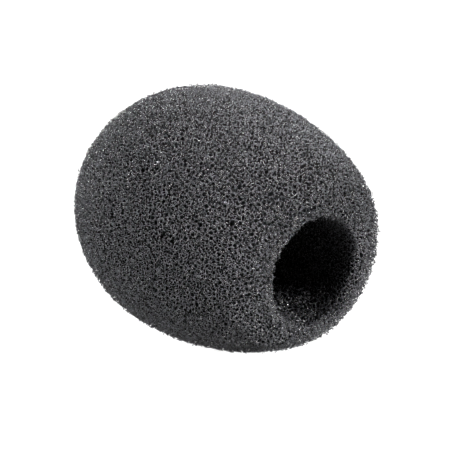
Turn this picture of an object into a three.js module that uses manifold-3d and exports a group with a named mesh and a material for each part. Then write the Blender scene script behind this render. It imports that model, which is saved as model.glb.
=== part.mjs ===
// A foam microphone windscreen: one egg of open-cell foam with a blind bore for the microphone's head.
//
// Millimetres, +Z up. It lies on its side with the bore level and its mouth towards +X. The origin is
// on the surface that it lies on, under the middle of its length and width.
import * as THREE from "three";
import { mergeVertices } from "three/addons/utils/BufferGeometryUtils.js";
import Module from "manifold-3d";

// Driving dimensions. Lengths along the egg count from its widest section.
const OUTER_RADIUS = 24; // at the widest section
const CLOSED_END = 28.7; // to the closed tip, which is half an ellipsoid
const MOUTH_END = 30.4; // to the flat rim round the mouth
const MOUTH_ELLIPSOID = 40.2; // to the tip that the mouth end would have if it weren't cut off flat
const SHOULDER_RADIUS = 7; // rounds the side into the rim

const BORE_RADIUS = 10.35;
const BORE_DEPTH = 38; // from the rim to the flat end of the bore
const BORE_DROP = 3.15; // the bore is cut this far below the egg's own axis,
const BORE_ASIDE = 0.6; // and this far to its +Y side
const BORE_LEAD = 0.5; // round lead-in at the mouth
const BORE_END_RADIUS = 1.5; // rounds the bore's wall into its end

const REST_DEPTH = 0.5; // the soft belly flattens by this much where it lies on a surface

// Fineness
const ROUND_STEPS = 48; // facets round a section
const CURVE_STEPS = 5; // half the steps along each of the egg's curves
const CORNER_STEPS = 2; // half the steps along a small rounding

const OVERSHOOT = 5; // how far a cutter stands out of what it cuts

const FOAM = new THREE.MeshStandardMaterial({ color: 0x4a4a4d, roughness: 0.85, metalness: 0 });

const wasm = await Module();
wasm.setup();

function toSolid(geometry) {
  geometry.deleteAttribute("normal");
  geometry.deleteAttribute("uv");
  const merged = mergeVertices(geometry);
  return new wasm.Manifold(
    new wasm.Mesh({
      numProp: 3,
      vertProperties: new Float32Array(merged.attributes.position.array),
      triVerts: new Uint32Array(merged.index.array),
    }),
  );
}

function toGeometry(solid) {
  const { vertProperties, triVerts } = solid.getMesh();
  const geometry = new THREE.BufferGeometry();
  geometry.setAttribute("position", new THREE.BufferAttribute(vertProperties, 3));
  geometry.setIndex(new THREE.BufferAttribute(triVerts, 1));
  geometry.computeVertexNormals();
  return geometry;
}

// Turns an outline of (radius, length) round the X axis.
function turned(points) {
  return new THREE.LatheGeometry(points, ROUND_STEPS).rotateZ(-Math.PI / 2);
}

// The shoulder touches both the ellipse of the mouth end and the plane of the rim. This finds the
// angle on the ellipse where it touches, and the middle of the shoulder's own circle.
function shoulder() {
  const touch = (angle) => {
    const onEllipse = new THREE.Vector2(
      OUTER_RADIUS * Math.cos(angle),
      MOUTH_ELLIPSOID * Math.sin(angle),
    );
    const outward = new THREE.Vector2(
      Math.cos(angle) / OUTER_RADIUS,
      Math.sin(angle) / MOUTH_ELLIPSOID,
    ).normalize();
    return { angle, outward, middle: onEllipse.addScaledVector(outward, -SHOULDER_RADIUS) };
  };
  let low = 0;
  let high = Math.PI / 2;
  while (high - low > 1e-9) {
    const angle = (low + high) / 2;
    if (touch(angle).middle.y < MOUTH_END - SHOULDER_RADIUS) low = angle;
    else high = angle;
  }
  return touch(low);
}

function eggOutline() {
  const { angle, outward, middle } = shoulder();
  return [
    ...new THREE.Path()
      .absellipse(0, 0, OUTER_RADIUS, CLOSED_END, -Math.PI / 2, 0)
      .getPoints(CURVE_STEPS),
    ...new THREE.Path()
      .absellipse(0, 0, OUTER_RADIUS, MOUTH_ELLIPSOID, 0, angle)
      .getPoints(CURVE_STEPS)
      .slice(1),
    ...new THREE.Path()
      .absarc(middle.x, middle.y, SHOULDER_RADIUS, outward.angle(), Math.PI / 2)
      .getPoints(CORNER_STEPS * 2)
      .slice(1),
    new THREE.Vector2(0, MOUTH_END),
  ];
}

function boreOutline() {
  const end = MOUTH_END - BORE_DEPTH;
  const lead = BORE_RADIUS + BORE_LEAD;
  return [
    new THREE.Vector2(0, end),
    ...new THREE.Path()
      .absarc(BORE_RADIUS - BORE_END_RADIUS, end + BORE_END_RADIUS, BORE_END_RADIUS, -Math.PI / 2, 0)
      .getPoints(CORNER_STEPS),
    ...new THREE.Path()
      .absarc(lead, MOUTH_END - BORE_LEAD, BORE_LEAD, Math.PI, Math.PI / 2, true)
      .getPoints(CORNER_STEPS),
    new THREE.Vector2(lead, MOUTH_END + OVERSHOOT),
    new THREE.Vector2(0, MOUTH_END + OVERSHOOT),
  ];
}

// Everything under the plane that the belly is flattened to.
function surfaceBlock() {
  const width = 2 * OUTER_RADIUS;
  const height = REST_DEPTH + OVERSHOOT;
  return new THREE.BoxGeometry(width, width, height).translate(
    0,
    0,
    REST_DEPTH - OUTER_RADIUS - height / 2,
  );
}

function foamBody() {
  const egg = toSolid(turned(eggOutline()));
  const bore = toSolid(turned(boreOutline()).translate(0, BORE_ASIDE, -BORE_DROP));
  const surface = toSolid(surfaceBlock());
  const body = new THREE.Mesh(toGeometry(egg.subtract(bore).subtract(surface)), FOAM);
  body.name = "foam_body";
  body.position.set((CLOSED_END - MOUTH_END) / 2, 0, OUTER_RADIUS - REST_DEPTH);
  return body;
}

const windscreen = new THREE.Group();
windscreen.add(foamBody());

export default windscreen;
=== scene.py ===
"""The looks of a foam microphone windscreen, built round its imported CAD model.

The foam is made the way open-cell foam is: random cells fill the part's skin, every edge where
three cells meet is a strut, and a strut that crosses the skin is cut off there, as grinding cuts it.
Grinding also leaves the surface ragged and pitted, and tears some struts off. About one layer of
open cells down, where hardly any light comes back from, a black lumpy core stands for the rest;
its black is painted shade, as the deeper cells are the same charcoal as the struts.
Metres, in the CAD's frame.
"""

import itertools
import math
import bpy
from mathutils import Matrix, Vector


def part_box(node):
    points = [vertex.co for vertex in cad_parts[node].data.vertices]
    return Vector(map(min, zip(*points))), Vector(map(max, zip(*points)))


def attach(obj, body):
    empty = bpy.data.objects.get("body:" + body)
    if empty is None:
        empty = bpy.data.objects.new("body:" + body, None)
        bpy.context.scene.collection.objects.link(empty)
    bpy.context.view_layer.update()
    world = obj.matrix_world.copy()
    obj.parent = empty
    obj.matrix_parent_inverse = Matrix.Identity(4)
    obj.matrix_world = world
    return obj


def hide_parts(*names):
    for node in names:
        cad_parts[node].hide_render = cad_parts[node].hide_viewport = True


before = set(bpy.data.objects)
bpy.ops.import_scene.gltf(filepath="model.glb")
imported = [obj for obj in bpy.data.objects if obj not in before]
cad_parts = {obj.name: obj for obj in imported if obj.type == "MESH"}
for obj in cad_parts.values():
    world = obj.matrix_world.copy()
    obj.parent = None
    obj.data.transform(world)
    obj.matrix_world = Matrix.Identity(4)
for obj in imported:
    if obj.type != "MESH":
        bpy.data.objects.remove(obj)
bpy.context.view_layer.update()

from concurrent.futures import ThreadPoolExecutor

import bpy
import numpy as np
from mathutils import Vector
from mathutils.bvhtree import BVHTree
from mathutils.kdtree import KDTree

NODE = "foam_body"  # the CAD solid that all of this stands for
BODY = "root"

MM = 0.001

# Cells
CELL = 0.85 * MM  # mean width of a cell
CELL_FILL = 0.8  # a cell fills this share of the cube of its width
BEND = 0.1 * MM  # each wave that bends the first, regular lattice of cells moves it this far
BEND_WAVES = 6
BEND_WIDTH = 3.5 * MM  # the higher this is, the gentler the waves are
SITE_JITTER = 0.25 * CELL
CLOSEST = 0.92 * CELL  # middles of cells nearer than this are pushed apart
PUSH = 0.3  # each round moves a cell by this share of what its gaps fall short of that
PUSH_ROUNDS = 6
PUSHED_BY = 12  # only this many of the nearest cells push a cell
CIRCUMRADIUS = 1.2 * CELL  # no junction is further from the middles of its four cells
NEIGHBOURS = 25  # a cell's junctions are looked for among this many of its nearest cells
BATCH = 400  # cells looked at together, which only changes the speed
ROUGH_MARGIN = 1.001  # the rough search for junctions goes this much further than the exact one
TIE = 1e-9  # a site nearer to a junction by no more than this, in square mm, isn't nearer
RELAX = 0.3  # how far films pull a junction towards the middle of its neighbours, in each round
RELAX_ROUNDS = 3
FRINGE = 1.0 * MM  # cells whose middle is at most this far outside the skin still reach into it
MARGIN = 1.3 * MM  # more cells outside and inside, which shape the ones that are kept

# Struts
STRUT_CORNER = 0.082 * MM  # from a strut's axis, at a junction, out along each film it once held
STRUT_SPREAD = 0.4  # a junction is thicker or thinner than that by up to this share
PROUD = 0.13 * MM  # the ground surface stands this far out of the skin
RAGGED = 0.2 * MM  # and is ragged by about this much from one junction to the next,
RAGGED_LIMIT = 2  # and by at most this many times as much
PIT_DEPTH = 0.02 * MM  # it is pitted by about this much too
PIT_WIDTHS = 1.3 * MM, 3.5 * MM  # from the narrowest to the widest pit
CUT_SPREAD = 0.22 * MM  # cut struts end this far inside or outside the ground surface
TORN_SHARE = 0.02  # of the junctions nearer to the ground surface than TORN_DEPTH were torn off
TORN_DEPTH = 0.5 * MM
STUBS = 0.25, 0.75  # where a strut whose far end is gone is cut, as a share of its length
SHORTEST_STUB = 0.15  # a strut that the ground surface cuts keeps at least this share
SHORTEST_STRUT = 0.1 * CELL  # a strut shorter than this counts as this long when it is cut
UNKNOWN_STRUT = 0.2 * CELL  # length of a strut that leaves the modelled cells
SECTORS = 22  # the struts are split round the bore's axis into this many pieces

# Core
CORE_DEPTH = 0.9 * MM  # mean depth of the core's surface under the skin
CORE_LUMPS = 0.1 * MM  # how far it swells and sinks
CORE_LUMP_WIDTHS = 1.5 * MM, 3 * MM
CORE_STEP = 0.7 * MM  # its fineness
BURIED = 0.25 * MM  # struts go on this far into it

WAVES = 40  # a random swell is the sum of this many waves
SEED = 5

# The map that a sector's colour is baked to: left edge, width, lower edge, height of each half
MAP_LEFT, MAP_WIDTH, MAP_FOOT, MAP_HEIGHT = 0.04, 0.92, 0.01, 0.48
BORE_REACH = 0.27  # nearer to the axis than this share of the height counts as the bore's side

# Colours, dark and light, and how they drift
STRUT_COLOURS = (0.0010, 0.0010, 0.0011), (0.0550, 0.0545, 0.0620)
STRUT_DRIFT = 2600  # scale of the noise between them
STRUT_BAND = 0.45, 0.58  # noise at or under the first is dark, and at or over the second is light
# The core's near-black is painted shade: the deeper foam it stands for is the struts' charcoal, dark
# only because little light comes back from it
CORE_SHADE_COLOURS = (0.0010, 0.0010, 0.0011), (0.0040, 0.0040, 0.0045)
CORE_DRIFT = 900
CORE_BAND = 0.4, 0.6
DRIFT_DETAIL = 2
FLOOR_COLOUR = 0.18, 0.18, 0.18, 1  # what it gives back to the lights
WHITE = 1, 1, 1, 1

# Camera
VIEW_AZIMUTH = math.radians(51.7)
VIEW_ELEVATION = math.radians(19.4)
VIEW_DISTANCE = 336 * MM
VIEW_MIDDLE = 23.5 * MM  # height of the egg's own axis
VIEW_CLIP = 10 * MM, 20
VIEW_ASIDE = Vector((2.25, -1.93)) * MM  # the camera stands this far right of and above the middle
LENS = 142.4
SENSOR = 36

# Studio
FLOOR_HALF = 3
LIT_MIDDLE = Vector((0, 0, 20)) * MM  # the softboxes face this point
SOFTBOX_DISTANCE = 700 * MM
SOFTBOX_SIZE = 120 * MM
SOFTBOXES = {  # how far round from +X towards +Y, and how far up, in degrees, and the power in watts
    "mouth": (20, 15, 13.6),
    "mouth_high": (20, 30, 3.4),
    "front": (280, 32, 11.1),
    "top": (0, 90, 4.2),
    "back": (130, 55, 2.6),
    "closed_end": (180, 20, 3.0),
}

rng = np.random.default_rng(SEED)


# ---------------------------------------------------------------- cells


def skin_tree():
    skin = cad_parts[NODE].data
    return BVHTree.FromPolygons([v.co for v in skin.vertices], [p.vertices for p in skin.polygons])


def depth_under(skin, points):
    """How deep each point is under the skin. It is negative outside."""
    depths = np.empty(len(points))
    for i, point in enumerate(points):
        place, normal, _, distance = skin.find_nearest(point)
        depths[i] = -distance if (Vector(point) - place).dot(normal) > 0 else distance
    return depths


def nearest(points, asked, count):
    """For each asked index, the indices of its nearest points, without itself."""
    tree = KDTree(len(points))
    for i, point in enumerate(points):
        tree.insert(point, i)
    tree.balance()
    return np.array([[hit[1] for hit in tree.find_n(points[i], count + 1)[1:]] for i in asked])


def spread_sites(low, high):
    """Random middles of cells: a body-centred lattice, bent and jittered, for even_out to even out."""
    side = (2 * CELL_FILL) ** (1 / 3) * CELL
    steps = [np.arange(a - side, b + side, side) for a, b in zip(low, high)]
    corners = np.stack(np.meshgrid(*steps, indexing="ij"), -1).reshape(-1, 3)
    sites = np.concatenate([corners, corners + side / 2])
    bent = sites.copy()
    for _ in range(BEND_WAVES):
        wave = rng.normal(size=(3, 3)) / BEND_WIDTH
        bent += BEND * np.sin(sites @ wave.T + rng.uniform(0, 2 * math.pi, 3))
    return bent + rng.normal(size=bent.shape) * SITE_JITTER


def even_out(sites):
    """Pushes apart the sites that are closer together than cells of foam are."""
    everyone = np.arange(len(sites))
    for _ in range(PUSH_ROUNDS):
        around = nearest(sites, everyone, PUSHED_BY)
        away = sites[:, None] - sites[around]
        gap = np.linalg.norm(away, axis=2, keepdims=True)
        push = np.clip(CLOSEST - gap, 0, None) / gap * away
        sites = sites + PUSH * push.sum(1)
    return sites


TRIPLES = np.array(list(itertools.combinations(range(NEIGHBOURS), 3)))


def junctions_of(sites, own, near):
    """The junctions round each of a batch of cells, from the cell's own site and its nearest ones.

    The first pass over all the triples of neighbours is rough and quick, and the second is exact.
    """
    to = (sites[near] - sites[own][:, None]) / MM
    half = 0.5 * (to * to).sum(2)
    cross = np.cross(to[:, :, None], to[:, None])
    rough_to, rough_half, rough_cross = (part.astype(np.float32) for part in (to, half, cross))
    j, k, m = TRIPLES.T
    km, mj, jk = rough_cross[:, k, m], rough_cross[:, m, j], rough_cross[:, j, k]
    volume = (rough_to[:, j] * km).sum(2)
    place = rough_half[:, j, None] * km + rough_half[:, k, None] * mj + rough_half[:, m, None] * jk
    limit = ROUGH_MARGIN * CIRCUMRADIUS / MM
    row, triple = np.nonzero((place * place).sum(2) < (limit * volume) ** 2)

    j, k, m = TRIPLES[triple].T
    km, mj, jk = cross[row, k, m], cross[row, m, j], cross[row, j, k]
    place = half[row, j, None] * km + half[row, k, None] * mj + half[row, m, None] * jk
    place /= (to[row, j] * km).sum(1, keepdims=True)
    nearer = (np.einsum("ni,nki->nk", place, to[row]) - half[row]).max(1)
    good = (nearer < TIE) & (np.linalg.norm(place, axis=1) < CIRCUMRADIUS / MM)
    row, triple, place = row[good], triple[good], place[good]
    four = np.concatenate([own[row, None], near[row[:, None], TRIPLES[triple]]], 1)
    return np.sort(four, 1), sites[own[row]] + place * MM


def find_junctions(sites, cells):
    """Every point that is as far from four sites and nearer to no other: where four struts meet.

    Returns the four cells of each, in rising order, and its place.
    """
    around = nearest(sites, cells, NEIGHBOURS)
    parts = [slice(start, start + BATCH) for start in range(0, len(cells), BATCH)]
    with ThreadPoolExecutor() as pool:
        done = list(pool.map(lambda part: junctions_of(sites, cells[part], around[part]), parts))
    found, places = (np.concatenate(column) for column in zip(*done))
    found, first, times = np.unique(found, axis=0, return_index=True, return_counts=True)
    sure = times == np.isin(found, cells).sum(1)
    return found[sure], places[first[sure]]


# ---------------------------------------------------------------- the graph of struts

# A junction's four cells are numbered 0 to 3. Slot m is the strut that leaves it between the other
# three cells, away from cell m. Each pair of cells has a film between them, which two struts edge.
FILMS = list(itertools.combinations(range(4), 2))
FILM_OF = {pair: i for i, pair in enumerate(FILMS)} | {(b, a): i for i, (a, b) in enumerate(FILMS)}


def strut_films(slot):
    p, q, r = (cell for cell in range(4) if cell != slot)
    return [FILM_OF[p, q], FILM_OF[q, r], FILM_OF[p, r]]


STRUT_FILMS = np.array([strut_films(slot) for slot in range(4)])


def link(four, site_count):
    """For each junction and slot, the junction at the strut's other end and its slot there, or -1."""
    keys = np.stack([np.delete(four, slot, 1) @ [site_count**2, site_count, 1] for slot in range(4)], 1)
    order = np.argsort(keys.ravel(), kind="stable")
    ranked = keys.ravel()[order]
    first = np.nonzero(ranked[1:] == ranked[:-1])[0]
    mate = np.full(keys.size, -1)
    mate[order[first]] = order[first + 1]
    mate[order[first + 1]] = order[first]
    mate = mate.reshape(-1, 4)
    return np.where(mate < 0, -1, mate // 4), np.where(mate < 0, -1, mate % 4)


def relax(places, other):
    """Films pull the junctions of foam towards even angles, so each moves towards its neighbours."""
    whole = (other >= 0).all(1)
    for _ in range(RELAX_ROUNDS):
        middle = places[other].mean(1)
        places = np.where(whole[:, None], places + RELAX * (middle - places), places)
    return places


def unit(vectors):
    return vectors / np.maximum(np.linalg.norm(vectors, axis=-1, keepdims=True), 1e-12)


def strut_directions(places, other):
    """Unit vectors out along each junction's four struts.

    A strut whose far end isn't known balances the rest.
    """
    along = unit(places[other] - places[:, None])
    missing = other < 0
    along[missing] = 0
    return np.where(missing[..., None], unit(-along.sum(1, keepdims=True)), along)


def film_corners(places, along):
    """Six corners for each junction: one out along each film, between the two struts that edge it."""
    towards = []
    for film in FILMS:
        c, d = (slot for slot in range(4) if slot not in film)
        towards.append(along[:, c] + along[:, d])
    size = STRUT_CORNER * rng.uniform(1 - STRUT_SPREAD, 1 + STRUT_SPREAD, (len(places), 1, 1))
    return places[:, None] + size * unit(np.stack(towards, 1))


def face_table():
    """How faces run round a junction whose four cells are right-handed.

    Four triangles, one facing each cell, and for each slot the three directed pairs of films that
    the strut's sides start from.
    """
    triangles, sides = [], [[] for _ in range(4)]
    for cell in range(4):
        ring = [(cell, rest) for rest in range(4) if rest != cell]
        if cell % 2:
            ring.reverse()
        triangles.append([FILM_OF[pair] for pair in ring])
        for here, after in zip(ring, ring[1:] + ring[:1]):
            slot = 6 - cell - here[1] - after[1]
            sides[slot].append((FILM_OF[after], FILM_OF[here]))
    return np.array(triangles), np.array(sides)


TRIANGLES, SIDES = face_table()


def cap_ring(slot):
    """The three films of a slot in the order that closes its cut end."""
    after = dict(map(tuple, SIDES[slot].tolist()))
    ring = [STRUT_FILMS[slot][0]]
    while len(ring) < 3:
        ring.append(after[ring[-1]])
    return ring


CAPS = np.array([cap_ring(slot) for slot in range(4)])


# ---------------------------------------------------------------- meshes


def turn_over(faces, flipped):
    """Reverses the faces that are flipped."""
    return np.where(flipped[:, None], faces[:, ::-1], faces)


def strut_mesh(corners, along, other, other_slot, flipped, cut, chosen):
    """Points and faces of the chosen junctions with their struts.

    A strut between two chosen junctions is whole. Any other is cut at a share of its length, or
    at a set length where its far end isn't known, and closed.
    """
    rank = np.full(len(corners) + 1, -1)
    rank[:-1][chosen] = np.arange(len(chosen))
    points = [corners[chosen].reshape(-1, 3)]
    faces = []
    upside = flipped[chosen]
    base = 6 * np.arange(len(chosen))[:, None]
    for triangle in TRIANGLES:
        faces.append(turn_over(base + triangle, upside))
    total = 6 * len(chosen)
    for slot in range(4):
        mate = other[chosen, slot]
        mate_rank = rank[mate]
        whole = mate_rank >= 0
        once = whole & (mate_rank > np.arange(len(chosen)))
        here = np.nonzero(once)[0]
        films_there = STRUT_FILMS[other_slot[chosen[here], slot]]
        for start, end in SIDES[slot]:
            start_there = films_there[:, STRUT_FILMS[slot].tolist().index(start)]
            end_there = films_there[:, STRUT_FILMS[slot].tolist().index(end)]
            there = 6 * mate_rank[here]
            quads = np.stack(
                [6 * here + start, 6 * here + end, there + end_there, there + start_there], 1
            )
            faces.append(turn_over(quads, upside[here]))
        here = np.nonzero(~whole)[0]
        own = chosen[here]
        near = corners[own][:, CAPS[slot]]
        known = mate[here] >= 0
        ends = near + along[own, slot][:, None] * UNKNOWN_STRUT
        order = [STRUT_FILMS[slot].tolist().index(film) for film in CAPS[slot]]
        far = corners[mate[here], :][
            np.arange(len(here))[:, None], STRUT_FILMS[other_slot[own, slot]][:, order]
        ]
        share = cut[own, slot][:, None, None]
        ends = np.where(known[:, None, None], near + share * (far - near), ends)
        points.append(ends.reshape(-1, 3))
        tip = total + 3 * np.arange(len(here))
        total += 3 * len(here)
        faces.append(turn_over(tip[:, None] + np.arange(3), upside[here]))
        for start, end in SIDES[slot]:
            i, j = (CAPS[slot].tolist().index(film) for film in (start, end))
            quads = np.stack([6 * here + start, 6 * here + end, tip + j, tip + i], 1)
            faces.append(turn_over(quads, upside[here]))
    return np.concatenate(points), faces


def make_mesh(name, points, faces):
    """A smooth-shaded mesh object from arrays of triangles and quads."""
    sizes = np.concatenate([np.full(len(f), f.shape[1]) for f in faces])
    loops = np.concatenate([f.ravel() for f in faces]).astype(np.int32)
    mesh = bpy.data.meshes.new(name)
    mesh.vertices.add(len(points))
    mesh.vertices.foreach_set("co", points.astype(np.float32).ravel())
    mesh.loops.add(len(loops))
    mesh.loops.foreach_set("vertex_index", loops)
    mesh.polygons.add(len(sizes))
    starts = np.concatenate([[0], np.cumsum(sizes)[:-1]])
    mesh.polygons.foreach_set("loop_start", starts.astype(np.int32))
    mesh.polygons.foreach_set("use_smooth", np.full(len(sizes), True))
    mesh.update(calc_edges=True)
    piece = bpy.data.objects.new(name, mesh)
    bpy.context.scene.collection.objects.link(piece)
    return piece


def surface_net(field, low, step):
    """Points and quads of the closed surface where a field on a grid falls through zero.

    They face towards where it is below zero.
    """
    total = np.zeros((field.size, 3))
    count = np.zeros(field.size)
    faces = []
    for axis in range(3):
        here = field.take(range(field.shape[axis] - 1), axis)
        there = field.take(range(1, field.shape[axis]), axis)
        edge = np.argwhere((here > 0) != (there > 0))
        ends = here[tuple(edge.T)], there[tuple(edge.T)]
        crossing = edge.astype(float)
        crossing[:, axis] += ends[0] / (ends[0] - ends[1])
        ring = []
        for back_one, back_two in ((0, 0), (1, 0), (1, 1), (0, 1)):
            box = edge.copy()
            box[:, (axis + 1) % 3] -= back_one
            box[:, (axis + 2) % 3] -= back_two
            ring.append(np.ravel_multi_index(box.T, field.shape))
            np.add.at(total, ring[-1], crossing)
            np.add.at(count, ring[-1], 1)
        faces.append(turn_over(np.stack(ring, 1), ends[0] <= 0))
    used, faces = np.unique(np.concatenate(faces), return_inverse=True)
    return low + step * total[used] / count[used, None], faces.reshape(-1, 4)


def core_mesh(skin, low, high):
    """Points and quads of the core."""
    steps = [np.arange(a - CORE_STEP, b + 2 * CORE_STEP, CORE_STEP) for a, b in zip(low, high)]
    grid = np.stack(np.meshgrid(*steps, indexing="ij"), -1)
    points = grid.reshape(-1, 3)
    field = depth_under(skin, points) - CORE_DEPTH + CORE_LUMPS * swell(points, *CORE_LUMP_WIDTHS)
    return surface_net(field.reshape(grid.shape[:3]), grid[0, 0, 0], CORE_STEP)


# ---------------------------------------------------------------- materials


def new_material(name, roughness, specular):
    material = bpy.data.materials.new(name)
    material.use_nodes = True
    shader = material.node_tree.nodes["Principled BSDF"]
    shader.inputs["Roughness"].default_value = roughness
    shader.inputs["Specular IOR Level"].default_value = specular
    return material, shader


def add_mottle(material, shader, shades, scale, band):
    """Colour that drifts between two shades over the object, in a band of a noise's values."""
    nodes, links = material.node_tree.nodes, material.node_tree.links
    place = nodes.new("ShaderNodeTexCoord")
    noise = nodes.new("ShaderNodeTexNoise")
    noise.inputs["Scale"].default_value = scale
    noise.inputs["Detail"].default_value = DRIFT_DETAIL
    ramp = nodes.new("ShaderNodeValToRGB")
    for element, position, shade in zip(ramp.color_ramp.elements, band, shades):
        element.position = position
        element.color = (*shade, 1)
    links.new(place.outputs["Object"], noise.inputs["Vector"])
    links.new(noise.outputs["Fac"], ramp.inputs["Fac"])
    links.new(ramp.outputs["Color"], shader.inputs["Base Color"])


def strut_material():
    material, shader = new_material("charcoal_struts", roughness=0.22, specular=1)
    add_mottle(material, shader, STRUT_COLOURS, STRUT_DRIFT, STRUT_BAND)
    return material


# Painted shade: the near-black colour of the core stands for the shade inside the deeper foam
def shade_core_material():
    material, shader = new_material("painted_shade_deep_cells", roughness=1, specular=0)
    add_mottle(material, shader, CORE_SHADE_COLOURS, CORE_DRIFT, CORE_BAND)
    return material


# ---------------------------------------------------------------- the foam


def swell(points, narrowest, widest):
    """A random field, mostly between -2 and 2, that rises and falls over the given widths."""
    total = np.zeros(len(points))
    for _ in range(WAVES):
        wave = unit(rng.normal(size=3)) * 2 * math.pi / rng.uniform(narrowest, widest)
        total += np.sin(points @ wave + rng.uniform(0, 2 * math.pi))
    return total * math.sqrt(2 / WAVES)


def attached(kept, other, seeds):
    """Which of the kept junctions still hang together with the seeds."""
    held = kept & seeds
    while True:
        grown = kept & (held | (held[other] & (other >= 0)).any(1))
        if (grown == held).all():
            return held
        held = grown


def cut_shares(places, other, kept, under):
    """Where each strut is cut, as a share of its length. Two pieces meet halfway along theirs."""
    shares = rng.uniform(*STUBS, other.shape)
    leaves = (other >= 0) & (under[other] < 0)
    crossing = under[:, None] / np.where(kept[:, None] & leaves, under[:, None] - under[other], 1)
    length = np.maximum(np.linalg.norm(places[other] - places[:, None], axis=2), SHORTEST_STRUT)
    spread = rng.uniform(-1, 1, other.shape) * CUT_SPREAD / length
    shares = np.where(leaves, np.clip(crossing + spread, SHORTEST_STUB, 1), shares)
    return np.where((other >= 0) & kept[other], 0.5, shares)


def turns(points, low, high):
    """Each point's way round the egg's axis, from 0 to 1, and how far from the axis it is."""
    y, z = (points[:, axis] - (low[axis] + high[axis]) / 2 for axis in (1, 2))
    return np.arctan2(y, z) / (2 * math.pi) + 0.5, np.hypot(y, z)


def add_bake_map(piece, low, high, sector):
    """A UV map for baking a sector, unrolled: the bore's side below and the outside above."""
    mesh = piece.data
    points = np.empty(3 * len(mesh.vertices), np.float32)
    mesh.vertices.foreach_get("co", points)
    points = points.reshape(-1, 3)
    turn, reach = turns(points, low, high)
    across = ((turn * SECTORS - sector - 0.5 + SECTORS / 2) % SECTORS) - SECTORS / 2 + 0.5
    along = (points[:, 0] - low[0]) / (high[0] - low[0])
    outside = reach > BORE_REACH * (high[2] - low[2])
    up = MAP_FOOT + MAP_HEIGHT * along + 0.5 * outside
    flat = np.stack([MAP_LEFT + MAP_WIDTH * across, up], 1)
    loops = np.empty(len(mesh.loops), np.int32)
    mesh.loops.foreach_get("vertex_index", loops)
    layer = mesh.uv_layers.new(name="OFBake")
    layer.uv.foreach_set("vector", np.clip(flat, 0, 1)[loops].astype(np.float32).ravel())


def make_foam():
    low, high = map(np.array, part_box(NODE))
    skin = skin_tree()
    room = FRINGE + MARGIN
    sites = spread_sites(low - room, high + room)
    depth = depth_under(skin, sites)
    sites = even_out(sites[(depth > -room) & (depth < CORE_DEPTH + BURIED + MARGIN)])
    depth = depth_under(skin, sites)
    cells = np.nonzero((depth > -FRINGE) & (depth < CORE_DEPTH + BURIED))[0]
    four, places = find_junctions(sites, cells)
    other, other_slot = link(four, len(sites))
    places = relax(places, other)

    along = strut_directions(places, other)
    corners = film_corners(places, along)
    first, *rest = (sites[four[:, i]] for i in range(4))
    flipped = np.einsum("ni,ni->n", rest[0] - first, np.cross(rest[1] - first, rest[2] - first)) < 0

    under_skin = depth_under(skin, places)
    under = under_skin + PROUD - PIT_DEPTH * swell(places, *PIT_WIDTHS)
    under += RAGGED * rng.normal(size=len(places)).clip(-RAGGED_LIMIT, RAGGED_LIMIT)
    torn = (under < TORN_DEPTH) & (rng.random(len(places)) < TORN_SHARE)
    sound = (other < 0).sum(1) < 2
    kept = (under > 0) & (under_skin < CORE_DEPTH + BURIED) & sound & ~torn
    kept = attached(kept, other, under_skin > CORE_DEPTH)
    cut = cut_shares(places, other, kept, under)

    turn, _ = turns(places, low, high)
    sector = np.minimum((turn * SECTORS).astype(int), SECTORS - 1)
    struts = strut_material()
    made = []
    for number in range(SECTORS):
        chosen = np.nonzero(kept & (sector == number))[0]
        points, faces = strut_mesh(corners, along, other, other_slot, flipped, cut, chosen)
        points[:, 2] = np.maximum(points[:, 2], low[2])
        piece = make_mesh(f"foam_struts_{number + 1:02d}", points, faces)
        piece.data.materials.append(struts)
        add_bake_map(piece, low, high, number)
        made.append(piece)
    # The core is a near-black sheet of painted shade, put where the deeper foam would be
    points, faces = core_mesh(skin, low, high)
    core = make_mesh("foam_shade_core", points, [faces])
    core.data.materials.append(shade_core_material())
    return [*made, core]


# ---------------------------------------------------------------- studio


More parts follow.
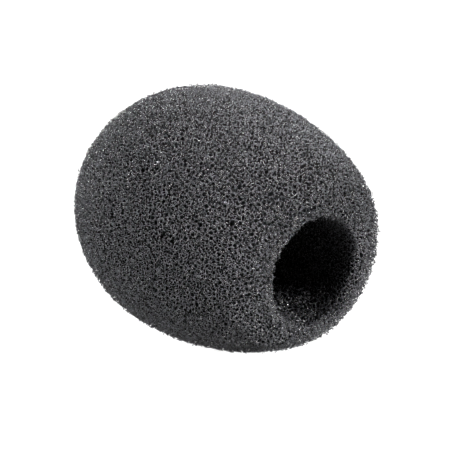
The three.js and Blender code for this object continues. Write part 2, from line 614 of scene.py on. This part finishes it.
def make_camera():
    middle = Vector((0, 0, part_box(NODE)[0][2] + VIEW_MIDDLE))
    back = Vector(
        (
            math.sin(VIEW_AZIMUTH) * math.cos(VIEW_ELEVATION),
            -math.cos(VIEW_AZIMUTH) * math.cos(VIEW_ELEVATION),
            math.sin(VIEW_ELEVATION),
        )
    )
    camera = bpy.data.objects.new("camera", bpy.data.cameras.new("camera"))
    bpy.context.scene.collection.objects.link(camera)
    camera.rotation_mode = "QUATERNION"
    camera.rotation_quaternion = (-back).to_track_quat("-Z", "Y")
    right = camera.rotation_quaternion @ Vector((1, 0, 0))
    up = camera.rotation_quaternion @ Vector((0, 1, 0))
    camera.location = middle + back * VIEW_DISTANCE + right * VIEW_ASIDE.x + up * VIEW_ASIDE.y
    camera.data.lens = LENS
    camera.data.sensor_width = SENSOR
    camera.data.clip_start, camera.data.clip_end = VIEW_CLIP
    bpy.context.scene.camera = camera


def glow_for_camera(tree, strength):
    """Makes a strength one where the camera looks straight at it, and none as a source of light."""
    path = tree.nodes.new("ShaderNodeLightPath")
    tree.links.new(path.outputs["Is Camera Ray"], strength)


def make_floor():
    """A pale floor that glows for the camera, so that it stays white round the part and under it."""
    mesh = bpy.data.meshes.new("floor")
    half = FLOOR_HALF
    corners = [(-half, -half, 0), (half, -half, 0), (half, half, 0), (-half, half, 0)]
    mesh.from_pydata(corners, [], [(0, 1, 2, 3)])
    floor = bpy.data.objects.new("floor", mesh)
    bpy.context.scene.collection.objects.link(floor)
    material, shader = new_material("pale_floor", roughness=0.9, specular=0.1)
    shader.inputs["Base Color"].default_value = FLOOR_COLOUR
    shader.inputs["Emission Color"].default_value = WHITE
    glow_for_camera(material.node_tree, shader.inputs["Emission Strength"])
    mesh.materials.append(material)


def make_background():
    world = bpy.data.worlds.new("studio")
    world.use_nodes = True
    background = world.node_tree.nodes["Background"]
    background.inputs["Color"].default_value = WHITE
    glow_for_camera(world.node_tree, background.inputs["Strength"])
    bpy.context.scene.world = world


def make_lights():
    for name, (azimuth, elevation, power) in SOFTBOXES.items():
        azimuth, elevation = math.radians(azimuth), math.radians(elevation)
        flat = math.cos(elevation)
        out = Vector((flat * math.cos(azimuth), flat * math.sin(azimuth), math.sin(elevation)))
        light = bpy.data.lights.new(name, "AREA")
        light.shape = "SQUARE"
        light.size = SOFTBOX_SIZE
        light.energy = power
        holder = bpy.data.objects.new(name, light)
        holder.location = LIT_MIDDLE + out * SOFTBOX_DISTANCE
        holder.rotation_euler = (-out).to_track_quat("-Z", "Y").to_euler()
        holder.visible_camera = False
        bpy.context.scene.collection.objects.link(holder)


make_camera()
foam = make_foam()
for piece in foam:
    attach(piece, BODY)
    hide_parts(NODE)
make_floor()
make_background()
make_lights()
bpy.context.scene.view_settings.view_transform = "Standard"
